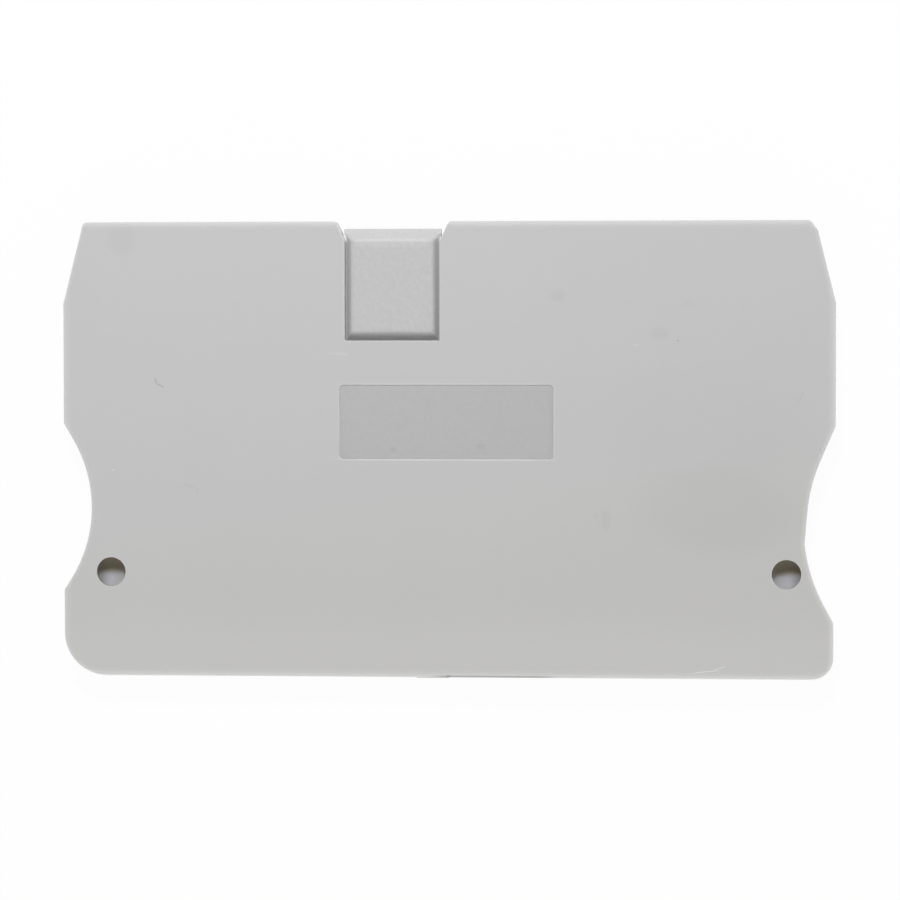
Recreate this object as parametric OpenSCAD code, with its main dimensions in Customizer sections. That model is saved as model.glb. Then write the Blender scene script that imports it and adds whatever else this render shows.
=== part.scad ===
// End cover for a rail-mounted spring-clamp terminal block.
// One moulded plate closes the open side of the last block in a row. It lies with its outer face up,
// on the locating pegs of its inner face. X runs along the block, Y from the rail to the top edge.

/* [Plate] */
// Length of the cover along the terminal block
cover_length = 71.5; // [64:0.5:90]
// Height of the cover from the rail side to the top edge
cover_height = 42.2; // [39:0.2:56]
// Thickness of the plate
plate_t = 2.2; // [1.9:0.1:3]
// Rounding of the outer edge, seen in section
edge_round = 0.45; // [0.1:0.05:0.5]
// Radius of the rail-side corner on the left
left_corner_r = 4; // [1:0.1:6]
// Radius of the rail-side corner on the right
right_corner_r = 2; // [1:0.1:4]

/* [Shoulders] */
// Distance by which each sloping shoulder draws in the top edge
shoulder_run = 1.9; // [0.5:0.1:4]
// Height of each sloping shoulder
shoulder_drop = 7.6; // [4:0.1:12]
// Run of the bevel at the right top corner
bevel_run = 0.7; // [0.4:0.05:1.2]
// Height of the bevel at the right top corner
bevel_drop = 0.9; // [0.6:0.05:1.8]

/* [Left hollow] */
// Distance from the top edge to the start of the left hollow
left_hollow_top = 18.7; // [15:0.1:20]
// Height of the side below the left hollow
left_foot = 8; // [7:0.1:10]
// Depth of the corner between the two flanks of the left hollow
left_depth = 4.65; // [2:0.05:5.5]
// Place of that corner, as a share of the hollow's height
left_share = 0.52; // [0.4:0.01:0.6]
// Radius that rounds the left hollow
left_hollow_r = 12.4; // [4:0.1:13]

/* [Right hollow] */
// Distance from the top edge to the start of the right hollow
right_hollow_top = 18.9; // [15:0.1:20]
// Height of the side below the right hollow
right_foot = 5.2; // [4.4:0.1:7]
// Distance by which that side stands back
foot_inset = 0.15; // [0:0.05:0.5]
// Depth of the throat between the two arcs of the right hollow
throat_depth = 2.8; // [2.5:0.05:3.2]
// Place of the throat, as a share of the hollow's height
throat_share = 0.6; // [0.5:0.01:0.64]
// Depth of the corner above the throat
upper_depth = 2.35; // [1.6:0.05:2.6]
// Place of the corner above the throat, as a share of the hollow's height
upper_share = 0.3; // [0.2:0.01:0.38]
// Radius that rounds the corner above the throat
upper_r = 15.5; // [4:0.5:18]
// Depth of the corner below the throat
lower_depth = 2.35; // [1.6:0.05:2.5]
// Place of the corner below the throat, as a share of the hollow's height
lower_share = 0.775; // [0.75:0.005:0.84]
// Radius that rounds the corner below the throat
lower_r = 16; // [4:0.5:17]

/* [Break-out tab] */
// Width of the notch that holds the tab
notch_w = 8.8; // [6:0.1:12]
// Depth of the notch below the top edge
notch_depth = 11; // [8:0.1:13]
// Distance of the notch's middle from the middle of the cover, to the left
notch_offset = 5; // [1:0.1:12]
// Run of the bevel on each side of the notch's mouth
mouth_run = 0.85; // [0.5:0.05:1.6]
// Height of the bevel on each side of the notch's mouth
mouth_drop = 1.8; // [1.2:0.05:2.6]
// Radius of the corner between that bevel and the top edge
mouth_round = 0.5; // [0.1:0.05:0.8]
// Radius of the inner corners of the notch
notch_corner_r = 0.12; // [0.05:0.01:0.3]
// Depth of the groove between the tab and the sides of the notch
groove_depth = 0.95; // [0.5:0.05:1.2]
// Run of the tab's slopes on the left, on the right and below, from the groove up to the face
tab_slope = 0.7; // [0.25:0.05:0.8]
// Run of the tab's slope above
tab_top_slope = 1.1; // [0.5:0.05:1.4]
// Distance of the tab's upper edge below the top edge
tab_drop = 0.65; // [0.3:0.05:0.9]
// Thickness of the tab at its upper edge
tab_lip_t = 0.5; // [0.3:0.05:0.9]
// Reach of the tab past the sides of the notch, in the mouth
tab_reach = 0.125; // [0.1:0.025:0.2]
// Distance by which the tab's ends in the mouth lie further to the left
tab_offset = 0.075; // [0:0.025:0.075]
// Rounding between the slopes and the face of the tab
tab_round = 0.6; // [0.2:0.05:0.8]

/* [Marking field] */
// Width of the shallow field for a marker strip
field_w = 19.8; // [12:0.1:30]
// Height of the marking field
field_h = 6.9; // [4:0.1:8]
// Depth of the marking field
field_depth = 0.12; // [0.08:0.02:0.5]
// Corner radius of the marking field
field_corner_r = 0.45; // [0.2:0.05:1]
// Distance from the top edge to the middle of the marking field
field_drop = 18.55; // [17.5:0.05:22]

/* [Sockets and pegs] */
// Bore of the two sockets in the outer face
socket_d = 2.7; // [2.2:0.05:3.2]
// Depth of the sockets
socket_depth = 1.5; // [1.2:0.05:1.6]
// Bevel at the mouth of the sockets
socket_lead = 0.06; // [0.05:0.01:0.2]
// Rise of the dished ring around the floor of the sockets
socket_dish = 0.55; // [0.2:0.05:0.6]
// Distance from each side of the cover to the axis of its socket
socket_inset = 4.45; // [4.2:0.05:6]
// Height of the sockets above the rail-side edge
socket_rise = 9.7; // [8:0.05:11]
// Play of a peg in a socket, across the diameter
peg_play = 0.1; // [0.04:0.02:0.2]
// Length of the locating pegs on the inner face
peg_length = 1.4; // [1:0.1:3]
// Bevel on the tip of each peg
peg_tip = 0.4; // [0.1:0.05:0.5]
// Distance of the upper peg from the middle of the cover, to the right
top_peg_x = 10.2; // [4:0.1:20]
// Distance of the upper peg below the top edge
top_peg_drop = 6.9; // [4:0.1:12]

/* [Moulding marks] */
// Width of the trimmed gate on the rail-side edge
gate_w = 3; // [1:0.1:6]
// Distance of the gate's middle from the middle of the cover, to the left
gate_offset = 1.35; // [0:0.05:10]
// Thickness of the gate, from the inner face
gate_t = 1.1; // [0.5:0.1:1.5]
// Height by which the trimmed gate stands proud
gate_proud = 0.12; // [0.02:0.02:0.2]
// Diameter of the ejector marks on the inner face
ejector_d = 3; // [2:0.1:4]
// Depth of the ejector marks
ejector_depth = 0.1; // [0.05:0.05:0.2]

/* [Hidden] */
// Greatest distance between a facet and the arc that it follows
facet_error = 0.01;
edge_facets = 5;
// Radius that a tight corner keeps on the outer face, inside the rounded edge
corner_rest = 0.1;
// Share of a side that the rounding of one corner may use
corner_reach = 0.94;
// Reach of a cut past the surface that it opens
overlap = 0.5;
// Height above the top edge at which the cutter for the notch ends
lip_rise = 0.02;
$fn = 64;

plastic = [0.76, 0.76, 0.75];

half_l = cover_length / 2;
half_h = cover_height / 2;
tight_r = edge_round + corner_rest;
left_start = half_h - left_hollow_top;
left_span = cover_height - left_hollow_top - left_foot;
right_start = half_h - right_hollow_top;
right_span = cover_height - right_hollow_top - right_foot;

// Distance of the right shoulder from the side, where its bevel starts
bevel_in = shoulder_run * (1 - bevel_drop / shoulder_drop);

// Corners of the cover, counter-clockwise from the top left, each as [x, y, radius]
cover_corners = [
  [shoulder_run - half_l, half_h, tight_r],
  [-half_l, half_h - shoulder_drop, tight_r],
  [-half_l, left_start, tight_r],
  [left_depth - half_l, left_start - left_share * left_span, left_hollow_r],
  [-half_l, left_foot - half_h, tight_r],
  [-half_l, -half_h, left_corner_r],
  [half_l - foot_inset, -half_h, right_corner_r],
  [half_l - foot_inset, right_foot - half_h, tight_r],
  [half_l - lower_depth, right_start - lower_share * right_span, lower_r],
  [half_l - throat_depth, right_start - throat_share * right_span, tight_r],
  [half_l - upper_depth, right_start - upper_share * right_span, upper_r],
  [half_l, right_start, tight_r],
  [half_l, half_h - shoulder_drop, tight_r],
  [half_l - bevel_in, half_h - bevel_drop, tight_r],
  [half_l - bevel_in - bevel_run, half_h, tight_r]
];

notch_half = notch_w / 2;
notch_floor = half_h - notch_depth;
mouth_half = notch_half + mouth_run;
mouth_start = half_h - mouth_drop;
tab_top = half_h - tab_drop;

// Distance past the notch at which the tab's slopes would meet the inner face
slope_foot = tab_slope * (plate_t / groove_depth - 1);

// Section of the tab across the notch, as [x, z, radius] about the notch's middle line
tab_across = [
  [-notch_half - slope_foot, 0, 0],
  [notch_half + slope_foot, 0, 0],
  [notch_half - tab_slope, plate_t, tab_round],
  [tab_slope - notch_half, plate_t, tab_round]
];

// Section of the tab along the notch, as [y, z, radius]
tab_along = [
  [notch_floor - slope_foot, 0, 0],
  [tab_top, 0, 0],
  [tab_top, tab_lip_t, 0],
  [tab_top - tab_top_slope, plate_t, tab_round],
  [notch_floor + tab_slope, plate_t, tab_round]
];

// The cutter for the notch widens above the top edge, so that the mouth's corners come out round
lip = half_h + lip_rise;
lip_half = mouth_half + 2 * mouth_round;

// Corners of the notch about its own middle line, counter-clockwise from the left lip
notch_corners = [
  [-lip_half, lip, 0],
  [-mouth_half, lip, mouth_round],
  [-notch_half, mouth_start, 0],
  [-notch_half, notch_floor, notch_corner_r],
  [notch_half, notch_floor, notch_corner_r],
  [notch_half, mouth_start, 0],
  [mouth_half, lip, mouth_round],
  [lip_half, lip, 0],
  [lip_half, lip + overlap, 0],
  [-lip_half, lip + overlap, 0]
];

field_y = half_h - field_drop;
field_corners = [
  [-field_w / 2, field_y - field_h / 2, field_corner_r],
  [field_w / 2, field_y - field_h / 2, field_corner_r],
  [field_w / 2, field_y + field_h / 2, field_corner_r],
  [-field_w / 2, field_y + field_h / 2, field_corner_r]
];

peg_d = socket_d - peg_play;
socket_floor = plate_t - socket_depth;
socket_x = half_l - socket_inset;
socket_y = socket_rise - half_h;
socket_places = [[-socket_x, socket_y], [socket_x, socket_y]];
peg_places = concat(socket_places, [[top_peg_x, half_h - top_peg_drop]]);

// Places of the ejector marks, as shares of the cover's length and height
ejector_shares = [[-0.36, 0.28], [0.36, 0.28], [-0.22, -0.32], [0.22, -0.32], [0.04, -0.06]];

function wrap(a) = a - 360 * floor((a + 180) / 360);

function heading(p, q) = atan2(q.y - p.y, q.x - p.x);

function side_length(p, q) = norm([q.x - p.x, q.y - p.y]);

// Angle of one facet that stays within facet_error of an arc
function facet_step(r) = 2 * acos(1 - facet_error / r);

// Points of the rounded corner c between p and q, each with the outward normal there.
// A corner without a radius gives one point.
function corner_samples(p, c, q) =
  let (
    start_heading = heading(p, c),
    turn = wrap(heading(c, q) - start_heading),
    half_turn = abs(turn) / 2,
    r = min(c[2], corner_reach * min(side_length(p, c), side_length(c, q)) / tan(half_turn)),
    side = sign(turn),
    n = r > 0 ? ceil(abs(turn) / facet_step(r)) : 0,
    start = [c.x, c.y] - r * tan(half_turn) * [cos(start_heading), sin(start_heading)],
    centre = start + side * r * [-sin(start_heading), cos(start_heading)]
  )
  [for (k = [0:n])
    let (
      h = start_heading + turn * (n > 0 ? k / n : 0.5),
      normal = [sin(h), -cos(h)]
    )
    [centre + side * r * normal, normal]];

function rounded(corners) =
  let (n = len(corners))
  [for (i = [0:n - 1]) each corner_samples(corners[(i + n - 1) % n], corners[i], corners[(i + 1) % n])];

function places(samples) = [for (s = samples) s[0]];

// Solid between rings of one outline about the origin. Each ring is [inset, height].
module skin(samples, rings) {
  n = len(samples);
  m = len(rings);
  points = [
    for (ring = rings) for (s = samples) concat(s[0] - ring[0] * s[1], ring[1]),
    [0, 0, rings[0][1]],
    [0, 0, rings[m - 1][1]]
  ];
  faces = [
    for (i = [0:n - 1]) [n * m, i, (i + 1) % n],
    for (j = [0:m - 2]) for (i = [0:n - 1])
      [j * n + i, (j + 1) * n + i, (j + 1) * n + (i + 1) % n, j * n + (i + 1) % n],
    for (i = [0:n - 1]) [n * m + 1, (m - 1) * n + (i + 1) % n, (m - 1) * n + i]
  ];
  polyhedron(points, faces);
}

// Plate with its outer edge rounded in section
module plate() {
  rings = [
    [0, 0],
    for (k = [0:edge_facets])
      let (a = 90 * k / edge_facets)
      [edge_round * (1 - cos(a)), plate_t - edge_round * (1 - sin(a))]
  ];
  skin(rounded(cover_corners), rings);
}

module notch() {
  translate([-notch_offset, 0, -overlap])
    linear_extrude(plate_t + 2 * overlap)
      polygon(places(rounded(notch_corners)));
}

// Tapered tab that a groove parts from the sides of the notch, as the common part of its two sections
module tab() {
  half_w = notch_half + tab_reach;
  translate([-notch_offset, 0, 0])
    intersection() {
      rotate([90, 0, 0])
        linear_extrude(cover_height, center = true)
          polygon(places(rounded(tab_across)));
      rotate([90, 0, 90])
        translate([0, 0, -half_w - tab_offset])
          linear_extrude(2 * half_w)
            polygon(places(rounded(tab_along)));
    }
}

module marking_field() {
  translate([0, 0, plate_t - field_depth])
    linear_extrude(field_depth + overlap)
      polygon(places(rounded(field_corners)));
}

// Blind socket that takes the peg of a neighbour, with a dished floor and a bevelled mouth
module socket() {
  mouth_d = socket_d + 2 * socket_lead;
  translate([0, 0, socket_floor])
    cylinder(d1 = socket_d - 2 * socket_dish, d2 = socket_d, h = socket_dish);
  translate([0, 0, socket_floor + socket_dish])
    cylinder(d = socket_d, h = socket_depth - socket_dish);
  translate([0, 0, plate_t - socket_lead])
    cylinder(d1 = socket_d, d2 = mouth_d + 2 * overlap, h = socket_lead + overlap);
}

// Locating peg on the inner face, with a lead-in at its tip
module peg() {
  translate([0, 0, -peg_length])
    cylinder(d1 = peg_d - 2 * peg_tip, d2 = peg_d, h = peg_tip);
  translate([0, 0, peg_tip - peg_length])
    cylinder(d = peg_d, h = peg_length - peg_tip + socket_floor / 2);
}

// What is left of the gate on the rail-side edge after trimming
module gate() {
  translate([-gate_offset - gate_w / 2, -half_h - gate_proud, 0])
    cube([gate_w, gate_proud + overlap, gate_t]);
}

module ejector_mark() {
  translate([0, 0, -overlap])
    cylinder(d = ejector_d, h = ejector_depth + overlap);
}

module end_cover() {
  color(plastic)
    translate([0, 0, peg_length]) {
      difference() {
        plate();
        notch();
        marking_field();
        for (place = socket_places)
          translate(place)
            socket();
        for (share = ejector_shares)
          translate([share.x * cover_length, share.y * cover_height])
            ejector_mark();
      }
      tab();
      gate();
      for (place = peg_places)
        translate(place)
          peg();
    }
}

end_cover();
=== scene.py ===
"""Moulded end cover for a rail-mounted terminal block, lying outer face up on its locating pegs.

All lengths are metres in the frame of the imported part: X runs along the block, Y towards the top edge
and Z up from the surface that the cover lies on.
"""

import math

import bmesh
import bpy
import numpy as np
from bpy.props import FloatProperty, FloatVectorProperty, PointerProperty
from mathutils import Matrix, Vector
from mathutils.geometry import delaunay_2d_cdt


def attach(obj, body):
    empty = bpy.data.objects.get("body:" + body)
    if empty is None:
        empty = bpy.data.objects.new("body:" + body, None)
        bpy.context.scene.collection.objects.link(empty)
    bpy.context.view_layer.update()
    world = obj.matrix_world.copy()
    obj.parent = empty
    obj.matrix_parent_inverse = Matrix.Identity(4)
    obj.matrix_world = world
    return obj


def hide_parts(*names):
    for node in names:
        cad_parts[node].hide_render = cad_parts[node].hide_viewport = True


bl_info = {
    "name": "Terminal Block End Cover",
    "version": (1, 0, 0),
    "blender": (4, 5, 0),
    "location": "View3D > Sidebar > End Cover",
    "description": "Builds a moulded end cover with its break-out tab, and the stage that it lies on",
    "category": "Add Mesh",
}

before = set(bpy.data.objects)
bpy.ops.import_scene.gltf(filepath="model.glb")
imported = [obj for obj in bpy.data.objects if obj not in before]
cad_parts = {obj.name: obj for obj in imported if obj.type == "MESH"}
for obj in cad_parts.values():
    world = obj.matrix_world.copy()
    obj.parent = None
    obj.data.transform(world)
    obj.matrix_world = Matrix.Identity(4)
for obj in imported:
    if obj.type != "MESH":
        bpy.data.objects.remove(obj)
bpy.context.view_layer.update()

NODE = "end_cover"
BODY = "root"
MM = 0.001


def length(name, description, millimetres):
    """A property for a length, written in millimetres and kept in metres."""
    return FloatProperty(
        name=name, description=description, default=millimetres * MM, min=0.0, precision=5, unit="LENGTH"
    )


def fraction(name, description, default):
    """A property for a share of something, from 0 to 1."""
    return FloatProperty(
        name=name, description=description, default=default, min=0.0, max=1.0, subtype="FACTOR"
    )


def position(name, description, default):
    """A property for a place in the scene."""
    return FloatVectorProperty(name=name, description=description, default=default, subtype="TRANSLATION")


def colour(name, description, default):
    """A property for a linear colour."""
    return FloatVectorProperty(
        name=name, description=description, default=default, min=0.0, max=1.0, size=3, subtype="COLOR"
    )


class PlateSizes(bpy.types.PropertyGroup):
    """Sizes of the plate and of its outline."""

    cover_length: length("Length", "Length of the cover along the block", 71.5)
    cover_height: length("Height", "Height of the cover up to the top edge", 42.2)
    plate_t: length("Thickness", "Thickness of the plate", 2.2)
    edge_round: length("Edge Rounding", "Rounding of the outer edge, seen in section", 0.45)
    back_round: length("Back Edge", "Rounding of the edge at the inner face", 0.06)
    left_corner_r: length("Left Corner", "Radius of the rail-side corner on the left", 4.0)
    right_corner_r: length("Right Corner", "Radius of the rail-side corner on the right", 2.0)
    tight_r: length("Tight Corners", "Radius of the corners that look sharp", 0.55)
    shoulder_run: length("Shoulder Run", "Distance by which a shoulder draws in the top edge", 1.9)
    shoulder_drop: length("Shoulder Height", "Height of each sloping shoulder", 7.6)
    bevel_run: length("Bevel Run", "Run of the bevel at the right top corner", 0.7)
    bevel_drop: length("Bevel Height", "Height of the bevel at the right top corner", 0.9)
    gate_w: length("Gate Width", "Width of the trimmed gate on the rail-side edge", 3.0)
    gate_t: length("Gate Thickness", "Thickness of the gate, from the inner face", 1.1)
    gate_offset: length("Gate Offset", "Distance of the gate to the left of the middle", 1.35)
    gate_proud: length("Gate Proud", "Height by which the trimmed gate stands proud", 0.12)


class HollowSizes(bpy.types.PropertyGroup):
    """Sizes of the hollows in the two sides."""

    left_top: length("Left Top", "Distance from the top edge to the left hollow", 18.7)
    left_foot: length("Left Foot", "Height of the side below the left hollow", 8.0)
    left_depth: length("Left Depth", "Depth of the corner between the flanks of the left hollow", 4.65)
    left_r: length("Left Radius", "Radius that rounds the left hollow", 12.4)
    left_share: fraction("Left Share", "Place of that corner as a share of the hollow", 0.52)
    right_top: length("Right Top", "Distance from the top edge to the right hollow", 18.9)
    right_foot: length("Right Foot", "Height of the side below the right hollow", 5.2)
    foot_inset: length("Foot Inset", "Distance by which that side stands back", 0.15)
    throat_depth: length("Throat Depth", "Depth of the throat between the two arcs", 2.8)
    throat_share: fraction("Throat Share", "Place of the throat as a share of the hollow", 0.6)
    upper_depth: length("Upper Depth", "Depth of the corner above the throat", 2.35)
    upper_r: length("Upper Radius", "Radius that rounds the corner above the throat", 15.5)
    upper_share: fraction("Upper Share", "Place of the upper corner as a share of the hollow", 0.3)
    lower_depth: length("Lower Depth", "Depth of the corner below the throat", 2.35)
    lower_r: length("Lower Radius", "Radius that rounds the corner below the throat", 16.0)
    lower_share: fraction("Lower Share", "Place of the lower corner as a share of the hollow", 0.775)


class TabSizes(bpy.types.PropertyGroup):
    """Sizes of the notch and of the break-out tab in it."""

    notch_w: length("Notch Width", "Width of the notch that holds the tab", 8.8)
    notch_depth: length("Notch Depth", "Depth of the notch below the top edge", 11.0)
    notch_offset: length("Notch Offset", "Distance of the notch to the left of the middle", 5.0)
    notch_edge: length("Notch Edge", "Rounding of the notch's edge, seen in section", 0.12)
    notch_corner_r: length("Notch Corner", "Radius of the notch's inner corners", 0.12)
    mouth_run: length("Mouth Run", "Run of the bevel on each side of the mouth", 0.85)
    mouth_drop: length("Mouth Height", "Height of the bevel on each side of the mouth", 1.8)
    mouth_round: length("Mouth Rounding", "Radius between that bevel and the top edge", 0.5)
    groove_depth: length("Groove", "Depth of the groove between the tab and the notch", 0.95)
    groove_floor: length("Groove Floor", "Width of the groove's floor at the sides of the tab", 0.1)
    slope: length("Slopes", "Run of the tab's slopes on the left, on the right and below", 0.7)
    top_slope: length("Top Slope", "Run of the tab's slope above", 1.1)
    drop: length("Tab Drop", "Distance of the tab's upper edge below the top edge", 0.65)
    lip_t: length("Tab Lip", "Thickness of the tab at its upper edge", 0.5)
    reach: length("Tab Reach", "Reach of the tab past the sides of the notch, in the mouth", 0.125)
    offset: length("Tab Offset", "Distance of its ends in the mouth further to the left", 0.075)
    crest: length("Crest", "Rounding between the slopes and the face of the tab", 0.6)
    foot_crest: length("Foot Crest", "Rounding between its lower slope and the face", 1.35)
    corner_r: length("Tab Corner", "Radius of the tab's four corners", 0.3)


class DetailSizes(bpy.types.PropertyGroup):
    """Sizes of the marking field, the sockets, the pegs and the ejector marks."""

    field_w: length("Field Width", "Width of the marking field", 19.8)
    field_h: length("Field Height", "Height of the marking field", 6.9)
    field_depth: length("Field Depth", "Depth of the marking field", 0.12)
    field_corner_r: length("Field Corner", "Corner radius of the marking field", 0.45)
    field_edge: length("Field Edge", "Rounding of the marking field's edges", 0.05)
    field_drop: length("Field Drop", "Distance from the top edge to the field's middle", 18.55)
    socket_d: length("Socket Bore", "Bore of the two sockets", 2.7)
    socket_depth: length("Socket Depth", "Depth of the sockets", 1.5)
    socket_lead: length("Socket Lead", "Rounding at the mouth of the sockets", 0.06)
    socket_dish: length("Socket Dish", "Rise of a socket's dished floor towards its wall", 0.55)
    socket_inset: length("Socket Inset", "Distance from a side of the cover to its socket", 4.45)
    socket_rise: length("Socket Rise", "Height of the sockets above the rail-side edge", 9.7)
    peg_play: length("Peg Play", "Play of a peg in a socket, across the diameter", 0.1)
    peg_length: length("Peg Length", "Length of the locating pegs", 1.4)
    peg_tip: length("Peg Tip", "Bevel on the tip of each peg", 0.4)
    peg_root: length("Peg Root", "Fillet between a peg and the inner face", 0.08)
    top_peg_x: length("Top Peg Place", "Distance of the upper peg to the right of the middle", 10.2)
    top_peg_drop: length("Top Peg Drop", "Distance of the upper peg below the top edge", 6.9)
    ejector_d: length("Ejector Mark", "Diameter of the ejector marks", 3.0)
    ejector_depth: length("Ejector Depth", "Depth of the ejector marks", 0.1)


class FinishSettings(bpy.types.PropertyGroup):
    """Colours and texture of the grey plastic."""

    plastic: colour("Plastic", "Colour of the moulded plastic", (0.553, 0.553, 0.553))
    # Painted warm light: the plastic's colour turns warmer towards the rail side
    warm_plastic: colour(
        "Warm Plastic", "Colour towards the rail side, where the light is painted warmer", (0.553, 0.55, 0.538)
    )
    # The sockets' colours are painted shade in the upper half and painted light in the lower half
    socket_shade: colour("Socket Shade", "Colour of the upper half of the sockets", (0.315, 0.275, 0.198))
    socket_lit: colour("Socket Floor", "Colour of the lower half of the sockets", (0.447, 0.447, 0.48))
    roughness: fraction("Roughness", "Roughness of the eroded face", 0.55)


class StageSettings(bpy.types.PropertyGroup):
    """Camera, light and floor."""

    lens: FloatProperty(
        name="Lens", description="Focal length for a 36 mm sensor", default=130.45, unit="CAMERA"
    )
    camera_place: position("Camera", "Place of the camera", (0.02229, 0.01073, 0.3036))
    camera_turn: FloatVectorProperty(
        name="Camera Turn",
        description="Rotation of the camera",
        default=tuple(map(math.radians, (-2.0465, 4.18, -0.04))),
        subtype="EULER",
    )
    key_power: FloatProperty(
        name="Key", description="Power of the lamp beyond the top edge", default=0.86, unit="POWER"
    )
    key_place: position("Key Place", "Place of that lamp", (-0.02, 0.245, 0.29))
    key_size: FloatVectorProperty(
        name="Key Size", description="Sides of that lamp", default=(0.088, 0.076), size=2, unit="LENGTH"
    )
    sky: FloatProperty(
        name="Sky", description="Strength of the light from above", default=0.1, subtype="UNSIGNED"
    )
    horizon: FloatProperty(
        name="Horizon", description="Strength added towards the horizon", default=1.8, subtype="UNSIGNED"
    )
    horizon_lean: FloatVectorProperty(
        name="Horizon Lean",
        description="Share by which that light grows along X, Y and Z",
        default=(0.15, -0.95, 0.0),
        subtype="XYZ",
    )
    floor_size: length("Floor", "Side of the floor", 3000.0)
    floor_colour: colour("Floor Colour", "Colour of the pale floor", (0.9, 0.9, 0.9))
    floor_white: fraction("Floor White", "Share of plain white where the floor is seen", 0.96)


class CoverSettings(bpy.types.PropertyGroup):
    """Everything that a user would change."""

    plate: PointerProperty(type=PlateSizes)
    hollows: PointerProperty(type=HollowSizes)
    tab: PointerProperty(type=TabSizes)
    details: PointerProperty(type=DetailSizes)
    finish: PointerProperty(type=FinishSettings)
    stage: PointerProperty(type=StageSettings)


# Largest gap between an arc and its facets, and fewest facets of a rounded corner
FACET_ERROR = 0.004 * MM
FEWEST_FACETS = 3

# Share of the shorter side next to a corner that its arc may take, and least tangent of half its turn
CORNER_REACH = 0.94
LEAST_TANGENT = 1e-9

# Facets of the outer edge and of the small roundings in section, and of everything that is turned
EDGE_FACETS = 8
FINE_FACETS = 3
ROUND_FACETS = 72

# Rows of points on the outer wall and on the floor of a socket, and points of the tab's upper corners
WALL_ROWS = 4
DISH_ROWS = 8
TAB_CORNER_POINTS = 4

# Distances between the groove and the tab's first row, below the outer edge's rounding and beside the gate
TAB_RISE = 0.04 * MM
SUPPORT = 0.05 * MM
GATE_LIP = 0.03 * MM

# Corners of a square, counter-clockwise
SQUARE = np.array([[-1, -1], [1, -1], [1, 1], [-1, 1]])

# Angle from which an edge is sharp, and distance in millimetres below which a filled face merges points
SHARP_ANGLE = math.radians(35)
FILL_MERGE = 1e-6

# Gap below the tips of the pegs, fall of the light above the horizon, and sensor and reach of the camera
FLOOR_GAP = 0.01 * MM
HORIZON_POWER = 1.2
SENSOR_MM = 36.0
CAMERA_CLIP = (0.01, 10.0)

# Places of the ejector marks, as shares of the cover's length and height
EJECTOR_SHARES = ((-0.36, 0.28), (0.36, 0.28), (-0.22, -0.32), (0.22, -0.32), (0.04, -0.06))

# Share by which each pattern lightens or darkens the plastic; the groove, foot and side shades are painted
# shade, and the rail and rim glare and the edge highlight are painted light
CLOUD_TONE = 0.012
MOTTLE_TONE = 0.008
GRAIN_TONE = 0.01
TAB_TONE = 0.09
FIELD_TONE = -0.135
FIELD_GRAIN = 0.04
FACE_TONE = -0.03
GROOVE_SHADE = -0.06
FOOT_SHADE = -0.15
RAIL_GLARE = 0.045
SIDE_SHADE = -0.017
RIM_GLARE = 0.045
EDGE_HIGHLIGHT = 0.27

# Scale in waves for each millimetre, detail and roughness of the noises
CLOUD_NOISE = (0.07, 2.0, 0.5)
MOTTLE_NOISE = (0.9, 3.0, 0.5)
GRAIN_NOISE = (9.0, 2.0, 0.6)
COARSE_NOISE = (3.0, 2.0, 0.6)
SHEEN_NOISE = (2.5, 2.0, 0.5)

# Changes of the roughness, relief of the grain, and gloss
SHEEN_ROUGHNESS = 0.04
FIELD_ROUGHNESS = -0.12
COARSE_RELIEF = 3.0
RELIEF_STRENGTH = 0.25
RELIEF_HEIGHT = 0.004 * MM
REFRACTION = 1.5
SPECULAR = 0.4

# Ends of the smooth steps in the masks, in millimetres: heights above the inner face, depths below the outer
# face, and widths along it
FRONT_HEIGHT = (0.1, 0.3)
OUTER_DEPTH = (0.35, 0.25)
SLOPE_DEPTH = (0.0, 0.25)
SOCKET_DEPTH = (0.1, 0.4)
FIELD_STEP = 0.05
FIELD_MARGIN = 0.05
FIELD_FADE = 0.02
TAB_FADE = 0.15

# Ends of the steps in x and y, with the turn of the warm side, and in the distance from the rim
RAIL_Y = (-13.0, -20.0)
SIDE_X = (-15.0, 25.0)
SIDE_Y = (-20.0, -8.0)
WARM_Y = (0.0, -18.0)
WARM_TURN = -0.12
RIM_INSET = (0.85, 0.45)

# Ends of the steps in the parts of the normal towards the top edge and upwards, and the change of the painted
# edge highlight on the tab's upper slope
TOP_FACING = (0.15, 0.5)
FOOT_FACING = ((-0.35, -0.52), (-0.8, -0.64))
EDGE_UP = (0.0, 0.4)
TOP_EDGE = -0.4

# Ends of the steps in a socket as shares of its bore, followed by the values there unless they are 0 and 1
SOCKET_RIM = (1.1, 1.0)
# The halves, the sides and the outward wall set where a socket's painted shade lies
SOCKET_HALVES = (0.22, -0.38)
SOCKET_SIDES = (1.0, 0.5, 0.7, 1.0)
SOCKET_OUTWARDS = (0.95, 0.1, 0.66, 1.0)

# Ends of the steps along and across a scratch, and from the middle of a blotch, as shares of its half sizes
SCRATCH_ENDS = (1.0, 0.6)
SCRATCH_SIDES = (1.0, 0.2)
BLOTCH_FADE = (1.0, 0.1)

# Numbers of a Mix node's colour sockets
MIX_COLOURS = (6, 7)
MIX_RESULT = 2
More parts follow.
